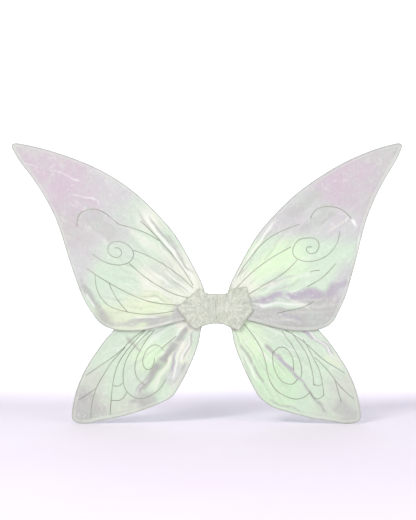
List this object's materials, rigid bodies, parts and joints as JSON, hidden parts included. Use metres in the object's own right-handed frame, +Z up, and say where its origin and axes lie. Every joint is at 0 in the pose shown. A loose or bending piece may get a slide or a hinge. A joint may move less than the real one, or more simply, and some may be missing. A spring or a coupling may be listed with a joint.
{
  "type": "fairy wings",
  "caption": "Pair of wearable fairy wings: four wire-framed translucent films with veins, held in a folding padded panel with two elastic arm straps.",
  "frame": {"origin": "middle of the panel's rear face, at the fold line of the waist and at the height of the wing roots", "axes": "+X towards the wings' right side seen from the front, +Y out of the rear face towards the wearer, +Z up; the outer face of the wings looks along -Y"},
  "size_m": [0.856, 0.1021, 0.6154],
  "materials": {
    "wire": "bright galvanised steel wire",
    "ferrule": "plain crimped tube",
    "hem": "folded sheer gauze, grey green",
    "film": "sheer iridescent organza, mint green turning pink and lilac",
    "cover": "pale grey green glitter felt",
    "wadding": "white polyester wadding",
    "elastic": "ribbed knitted elastic, off white",
    "thread": "twisted sewing thread, grey green"
  },
  "bodies": {
    "waist": {"waist_back_cover": "cover", "waist_front_cover": "cover", "waist_pad": "wadding"},
    "left_wing": {"left_back_cover": "cover", "left_back_pad": "wadding", "left_front_cover": "cover", "left_front_pad": "wadding", "left_root_lashing": "thread", "left_strap_ends": "elastic", "left_strap_tacks": "thread", "left_upper_ferrule": "ferrule", "left_upper_film": "film", "left_upper_hem": "hem", "left_upper_wire": "wire"},
    "left_lower_wing": {"left_lower_ferrule": "ferrule", "left_lower_film": "film", "left_lower_hem": "hem", "left_lower_wire": "wire"},
    "left_strap": {"left_strap": "elastic"},
    "right_wing": {"right_back_cover": "cover", "right_back_pad": "wadding", "right_front_cover": "cover", "right_front_pad": "wadding", "right_root_lashing": "thread", "right_strap_ends": "elastic", "right_strap_tacks": "thread", "right_upper_ferrule": "ferrule", "right_upper_film": "film", "right_upper_hem": "hem", "right_upper_wire": "wire"},
    "right_lower_wing": {"right_lower_ferrule": "ferrule", "right_lower_film": "film", "right_lower_hem": "hem", "right_lower_wire": "wire"},
    "right_strap": {"right_strap": "elastic"}
  },
  "joints": [
    {"name": "left_fold", "type": "hinge", "parent": "waist", "child": "left_wing", "pos_m": [-0.012, -0.007, 0], "axis": [0, 0, 1], "range_deg": [-30, 90]},
    {"name": "left_lower_swivel", "type": "hinge", "parent": "left_wing", "child": "left_lower_wing", "pos_m": [-0.024, -0.0052, 0], "axis": [0, 1, 0], "range_deg": [-10, 25]},
    {"name": "left_strap_swing", "type": "hinge", "parent": "left_wing", "child": "left_strap", "pos_m": [-0.05, 0.008, 0], "axis": [0, 0, -1], "range_deg": [-60, 60]},
    {"name": "right_fold", "type": "hinge", "parent": "waist", "child": "right_wing", "pos_m": [0.012, -0.007, 0], "axis": [0, 0, -1], "range_deg": [-30, 90]},
    {"name": "right_lower_swivel", "type": "hinge", "parent": "right_wing", "child": "right_lower_wing", "pos_m": [0.024, -0.0052, 0], "axis": [0, -1, 0], "range_deg": [-10, 25]},
    {"name": "right_strap_swing", "type": "hinge", "parent": "right_wing", "child": "right_strap", "pos_m": [0.05, 0.008, 0], "axis": [0, 0, 1], "range_deg": [-60, 60]}
  ]
}
